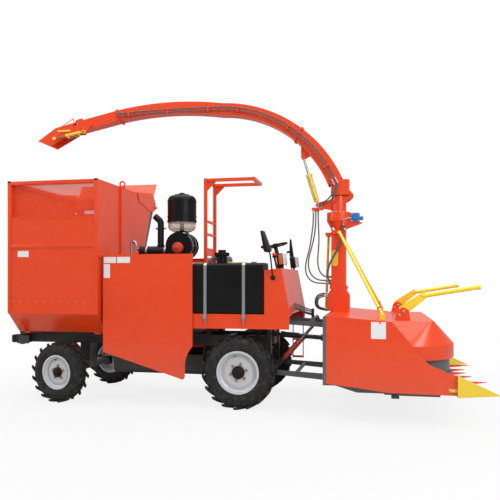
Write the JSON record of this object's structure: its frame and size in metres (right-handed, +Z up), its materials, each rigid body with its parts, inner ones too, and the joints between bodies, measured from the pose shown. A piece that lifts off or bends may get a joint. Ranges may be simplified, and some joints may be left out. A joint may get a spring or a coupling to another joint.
{
  "type": "self-propelled corn forage harvester",
  "caption": "Self-propelled corn harvester with rotary header, swinging spout, open operator platform and tipping bin.",
  "frame": {"origin": "ground level under the middle of the overall box", "axes": "+X forward along the machine, +Y to its left side, +Z up"},
  "size_m": [7.375, 3.12, 4.9076],
  "materials": {
    "red_paint": "gloss enamel",
    "grey_paint": "satin enamel",
    "yellow_paint": "gloss enamel",
    "black_plastic": "satin",
    "black_vinyl": "matte",
    "dark_steel": "satin",
    "chrome_rod": "polished",
    "blue_paint": "gloss enamel",
    "hose_rubber": "matte",
    "clear_bowl": "clear",
    "plated_steel": "zinc plated",
    "rim_paint": "satin",
    "tyre_rubber": "matte"
  },
  "bodies": {
    "chassis": {"chassis_frame": "dark_steel", "belly_tray": "dark_steel", "front_axle": "grey_paint", "rear_axle": "grey_paint", "engine_block": "grey_paint", "engine_panels": "red_paint", "fuel_tank": "black_plastic", "tank_straps": "plated_steel", "operator_platform": "red_paint", "front_cowl": "red_paint", "steering_column": "black_plastic", "seat": "black_vinyl", "canopy_frame": "red_paint", "air_cleaner": "black_plastic", "precleaner_bowl": "clear_bowl", "exhaust": "dark_steel", "mirrors_and_lamps": "black_plastic"},
    "header": {"header_shell": "red_paint", "header_frame": "grey_paint", "drum_cover": "red_paint", "dividers": "yellow_paint", "crop_points": "red_paint", "push_bars": "yellow_paint", "mast": "red_paint", "swing_motor": "blue_paint", "mast_stays": "yellow_paint"},
    "bin": {"bin_shell": "red_paint", "bin_screen": "red_paint"},
    "spout_head": {"spout_head": "red_paint", "hose_a": "hose_rubber", "hose_b": "hose_rubber", "hose_c": "hose_rubber"},
    "boom": {"boom": "red_paint", "boom_pipes": "hose_rubber"},
    "wheel_front_right": {"rim_front_right": "rim_paint", "tyre_front_right": "tyre_rubber"},
    "wheel_front_left": {"rim_front_left": "rim_paint", "tyre_front_left": "tyre_rubber"},
    "wheel_rear_right": {"rim_rear_right": "rim_paint", "tyre_rear_right": "tyre_rubber"},
    "wheel_rear_left": {"rim_rear_left": "rim_paint", "tyre_rear_left": "tyre_rubber"},
    "knuckle_right": {"knuckle_right": "dark_steel"},
    "knuckle_left": {"knuckle_left": "dark_steel"},
    "tie_rod": {"tie_rod": "dark_steel"},
    "bin_gate": {"bin_gate": "grey_paint"},
    "tip_barrel": {"tip_barrel": "red_paint"},
    "tip_rod": {"tip_rod": "chrome_rod"},
    "lower_links": {"lower_links": "grey_paint"},
    "upper_links": {"upper_links": "grey_paint"},
    "lift_barrels": {"lift_barrels": "red_paint"},
    "lift_rods": {"lift_rods": "chrome_rod"},
    "drive_shaft": {"drive_shaft": "dark_steel"},
    "drum_right": {"drum_right": "grey_paint"},
    "drum_left": {"drum_left": "grey_paint"},
    "boom_barrel": {"boom_barrel": "yellow_paint"},
    "boom_rod": {"boom_rod": "chrome_rod"},
    "flap": {"flap": "red_paint"},
    "flap_barrel": {"flap_barrel": "yellow_paint"},
    "flap_rod": {"flap_rod": "chrome_rod"}
  },
  "joints": [
    {"name": "wheel_front_right", "type": "hinge", "parent": "chassis", "child": "wheel_front_right", "pos_m": [0.1125, -0.8625, 0.5525], "axis": [0, 1, 0], "continuous": true},
    {"name": "wheel_front_left", "type": "hinge", "parent": "chassis", "child": "wheel_front_left", "pos_m": [0.1125, 0.8625, 0.5525], "axis": [0, 1, 0], "continuous": true},
    {"name": "steer", "type": "hinge", "parent": "chassis", "child": "knuckle_right", "pos_m": [-2.7675, -0.735, 0.475], "axis": [0, 0, 1], "range_deg": [-24.3, 45.7]},
    {"name": "steer_left", "type": "hinge", "parent": "chassis", "child": "knuckle_left", "pos_m": [-2.7675, 0.735, 0.475], "axis": [0, 0, 1], "range_deg": [-24.3, 45.7]},
    {"name": "tie_rod", "type": "slide", "parent": "chassis", "child": "tie_rod", "axis": [0, 1, 0], "range_m": [-0.1196, 0.0636]},
    {"name": "wheel_rear_right", "type": "hinge", "parent": "knuckle_right", "child": "wheel_rear_right", "pos_m": [-2.80185, -0.91678, 0.475], "axis": [0.1857, 0.9826, 0], "continuous": true},
    {"name": "wheel_rear_left", "type": "hinge", "parent": "knuckle_left", "child": "wheel_rear_left", "pos_m": [-2.73315, 0.91678, 0.475], "axis": [0.1857, 0.9826, 0], "continuous": true},
    {"name": "bin_tip", "type": "hinge", "parent": "chassis", "child": "bin", "pos_m": [-2.8675, 0.5, 1.02], "axis": [-1, 0, 0], "range_deg": [0, 45]},
    {"name": "tip_barrel", "type": "hinge", "parent": "chassis", "child": "tip_barrel", "pos_m": [-3.0375, 0.3, 0.62], "axis": [-1, 0, 0], "range_deg": [0, 37.22]},
    {"name": "tip_rod", "type": "slide", "parent": "tip_barrel", "child": "tip_rod", "axis": [0, -0.8448, 0.5351], "range_m": [0, 0.326]},
    {"name": "bin_gate", "type": "hinge", "parent": "bin", "child": "bin_gate", "pos_m": [-2.841, 1.36, 3.33], "axis": [1, 0, 0], "range_deg": [0, 30]},
    {"name": "header_lift", "type": "hinge", "parent": "chassis", "child": "lower_links", "pos_m": [0.5825, 0, 0.53], "axis": [0, -1, 0], "range_deg": [-15, 18]},
    {"name": "header_level", "type": "hinge", "parent": "lower_links", "child": "header", "pos_m": [1.3525, 0, 0.48], "axis": [0, -1, 0], "range_deg": [-18.2, 15.2]},
    {"name": "upper_links", "type": "hinge", "parent": "chassis", "child": "upper_links", "pos_m": [0.5825, 0, 1.29], "axis": [0, -1, 0], "range_deg": [-15.2, 18.2]},
    {"name": "drive_shaft", "type": "hinge", "parent": "chassis", "child": "drive_shaft", "pos_m": [0.5825, 0, 1.055], "axis": [0, -1, 0], "range_deg": [-15.2, 18.2]},
    {"name": "lift_barrels", "type": "hinge", "parent": "chassis", "child": "lift_barrels", "pos_m": [0.6725, 0, 0.67], "axis": [0, -1, 0], "range_deg": [-7.32, 8.74]},
    {"name": "lift_rods", "type": "slide", "parent": "lift_barrels", "child": "lift_rods", "axis": [0.6597, 0, 0.7516], "range_m": [-0.123, 0.1476]},
    {"name": "drum_right", "type": "hinge", "parent": "header", "child": "drum_right", "pos_m": [2.4625, -0.735, 0.65], "axis": [0, 0, 1], "continuous": true},
    {"name": "drum_left", "type": "hinge", "parent": "header", "child": "drum_left", "pos_m": [2.4625, 0.735, 0.65], "axis": [0, 0, 1], "continuous": true},
    {"name": "spout_swing", "type": "hinge", "parent": "header", "child": "spout_head", "pos_m": [1.5475, 0, 2.9], "axis": [0, 0, 1], "range_deg": [-100, 100], "deforming": ["hose_a", "hose_b", "hose_c"]},
    {"name": "boom_lift", "type": "hinge", "parent": "spout_head", "child": "boom", "pos_m": [1.7445, 0, 3.28], "axis": [0, 1, 0], "range_deg": [0, 15]},
    {"name": "boom_barrel", "type": "hinge", "parent": "spout_head", "child": "boom_barrel", "pos_m": [1.2125, 0, 3.135], "axis": [0, 1, 0], "range_deg": [0, 14.52]},
    {"name": "boom_rod", "type": "slide", "parent": "boom_barrel", "child": "boom_rod", "axis": [-0.2855, 0, 0.9584], "range_m": [0, 0.1442]},
    {"name": "flap", "type": "hinge", "parent": "boom", "child": "flap", "pos_m": [-2.9625, 0, 4.682], "axis": [0, 1, 0], "range_deg": [-25, 15]},
    {"name": "flap_barrel", "type": "hinge", "parent": "boom", "child": "flap_barrel", "pos_m": [-2.7815, -0.165, 4.474], "axis": [0, 1, 0], "range_deg": [-19.45, 11.75]},
    {"name": "flap_rod", "type": "slide", "parent": "flap_barrel", "child": "flap_rod", "axis": [-0.9854, 0, -0.1703], "range_m": [-0.1074, 0.0646]}
  ],
  "couplings": [
    {"joint": "steer_left", "follows": "steer", "ratio": 1},
    {"joint": "tie_rod", "follows": "steer", "m_per_rad": -0.15},
    {"joint": "tip_barrel", "follows": "bin_tip", "ratio": 0.8227},
    {"joint": "tip_rod", "follows": "bin_tip", "m_per_rad": 0.4144},
    {"joint": "header_level", "follows": "header_lift", "ratio": -1},
    {"joint": "upper_links", "follows": "header_lift", "ratio": 1},
    {"joint": "drive_shaft", "follows": "header_lift", "ratio": 1},
    {"joint": "lift_barrels", "follows": "header_lift", "ratio": 0.4747},
    {"joint": "lift_rods", "follows": "header_lift", "m_per_rad": 0.4681},
    {"joint": "drum_left", "follows": "drum_right", "ratio": -1},
    {"joint": "boom_barrel", "follows": "boom_lift", "ratio": 0.9548},
    {"joint": "boom_rod", "follows": "boom_lift", "m_per_rad": 0.5489},
    {"joint": "flap_barrel", "follows": "flap", "ratio": 0.77},
    {"joint": "flap_rod", "follows": "flap", "m_per_rad": 0.245}
  ]
}
